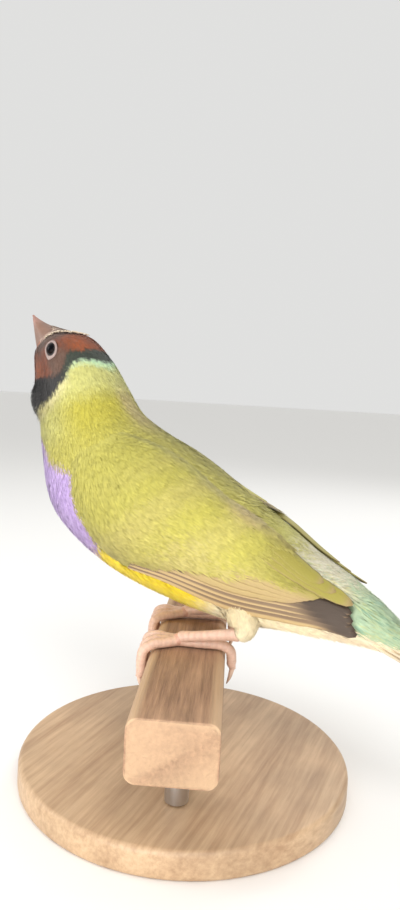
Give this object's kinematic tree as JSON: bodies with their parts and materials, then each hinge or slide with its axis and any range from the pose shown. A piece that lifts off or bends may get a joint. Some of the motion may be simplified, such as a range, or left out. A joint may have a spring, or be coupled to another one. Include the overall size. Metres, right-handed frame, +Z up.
{
  "type": "gouldian finch",
  "caption": "Life-size still model of a gouldian finch looking up, gripping a cut length of perch on a plain round display stand.",
  "frame": {"origin": "centre of the underside of the stand's round base", "axes": "+Z up, -Y the way the bird's body faces, +X to the bird's left; the perch runs 20 degrees off X"},
  "size_m": [0.0902, 0.1329, 0.1072],
  "materials": {
    "mask_plumage": "soft, worn brick-red feathers with a black border",
    "green_plumage": "soft olive to yellow-green feathers",
    "tail_plumage": "pale mint feathers over dark vanes",
    "cream_plumage": "soft cream down",
    "bill": "smooth horn, pale with a pink tip",
    "eye": "wet gloss",
    "leg_skin": "scaled flesh-pink skin",
    "perch_wood": "weathered, rough along the grain",
    "stand_wood": "satin",
    "stand_steel": "brushed"
  },
  "bodies": {
    "root": {"head": "mask_plumage", "eye_left": "eye", "eye_right": "eye", "bill_upper": "bill", "bill_lower": "bill", "neck": "green_plumage", "torso": "green_plumage", "wing_left": "green_plumage", "wing_right": "green_plumage", "tail": "tail_plumage", "thigh_left": "cream_plumage", "thigh_right": "cream_plumage", "leg_left": "leg_skin", "leg_right": "leg_skin", "foot_left": "leg_skin", "foot_right": "leg_skin", "perch": "perch_wood", "stand_base": "stand_wood", "stand_rod_left": "stand_steel", "stand_rod_right": "stand_steel"}
  },
  "joints": []
}
